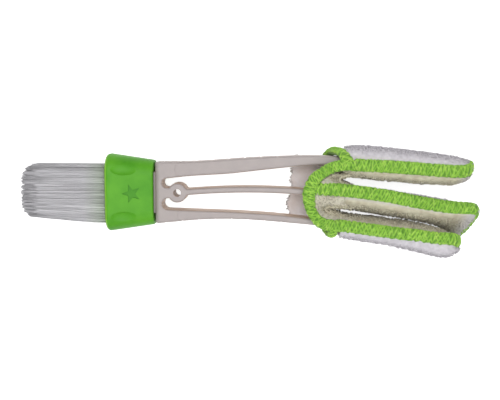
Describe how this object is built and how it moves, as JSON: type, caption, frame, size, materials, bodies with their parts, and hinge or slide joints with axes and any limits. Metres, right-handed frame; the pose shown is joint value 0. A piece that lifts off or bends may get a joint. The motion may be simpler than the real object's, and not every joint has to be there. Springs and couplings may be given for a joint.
{
  "type": "crevice brush",
  "caption": "Hand cleaner for louvres and narrow gaps: a bristle brush in a flared collar at one end, springy tong arms in a removable fingered cloth cover at the other.",
  "frame": {"origin": "centre of the hanging hole, halfway through the handle plate", "axes": "+X from the hole to the cloth fingers, +Y from the lower arm to the upper arm, +Z out of the plate's front face"},
  "size_m": [0.1782, 0.04, 0.0216],
  "materials": {
    "handle_plastic": "fine moulded texture, slight sheen",
    "collar_plastic": "smooth moulded, soft gloss",
    "block_plastic": "plain moulded",
    "bristle_nylon": "fine pale strands",
    "terry_cloth": "looped cotton and polyester terry",
    "green_yarn": "overlocked yarn edge"
  },
  "bodies": {
    "handle": {"handle_base": "handle_plastic", "centre_arm": "handle_plastic", "collar": "collar_plastic", "brush_block": "block_plastic", "bristles_front": "bristle_nylon", "bristles_middle": "bristle_nylon", "bristles_back": "bristle_nylon"},
    "upper_arm": {"upper_arm": "handle_plastic"},
    "lower_arm": {"lower_arm": "handle_plastic"},
    "glove_core": {"middle_upper_panel": "terry_cloth", "middle_lower_panel": "terry_cloth", "middle_seam": "green_yarn", "palm_front": "terry_cloth", "palm_back": "terry_cloth", "binding_front": "green_yarn", "binding_back": "green_yarn"},
    "upper_sleeve": {"upper_outer_panel": "terry_cloth", "upper_inner_panel": "terry_cloth", "upper_seam": "green_yarn", "upper_hem": "green_yarn"},
    "lower_sleeve": {"lower_inner_panel": "terry_cloth", "lower_outer_panel": "terry_cloth", "lower_seam": "green_yarn", "lower_hem": "green_yarn"}
  },
  "joints": [
    {"name": "upper_arm_flex", "type": "hinge", "parent": "handle", "child": "upper_arm", "pos_m": [0.002, 0.0092, 0], "axis": [0, 0, 1], "range_deg": [-2, 3], "stiffness_Nm_per_rad": 1.8},
    {"name": "lower_arm_flex", "type": "hinge", "parent": "handle", "child": "lower_arm", "pos_m": [0.002, -0.00885, 0], "axis": [0, 0, 1], "range_deg": [-3, 0.4], "stiffness_Nm_per_rad": 1.5},
    {"name": "glove_slide", "type": "slide", "parent": "handle", "child": "glove_core", "axis": [0.9903, -0.1392, 0], "range_m": [0, 0.062]},
    {"name": "upper_sleeve_flex", "type": "hinge", "parent": "glove_core", "child": "upper_sleeve", "pos_m": [0.002, 0.0092, 0], "axis": [0, 0, 1], "range_deg": [-2, 3]},
    {"name": "lower_sleeve_flex", "type": "hinge", "parent": "glove_core", "child": "lower_sleeve", "pos_m": [0.002, -0.00885, 0], "axis": [0, 0, 1], "range_deg": [-3, 0.4]}
  ],
  "couplings": [
    {"joint": "upper_sleeve_flex", "follows": "upper_arm_flex", "ratio": 1},
    {"joint": "lower_sleeve_flex", "follows": "lower_arm_flex", "ratio": 1}
  ]
}
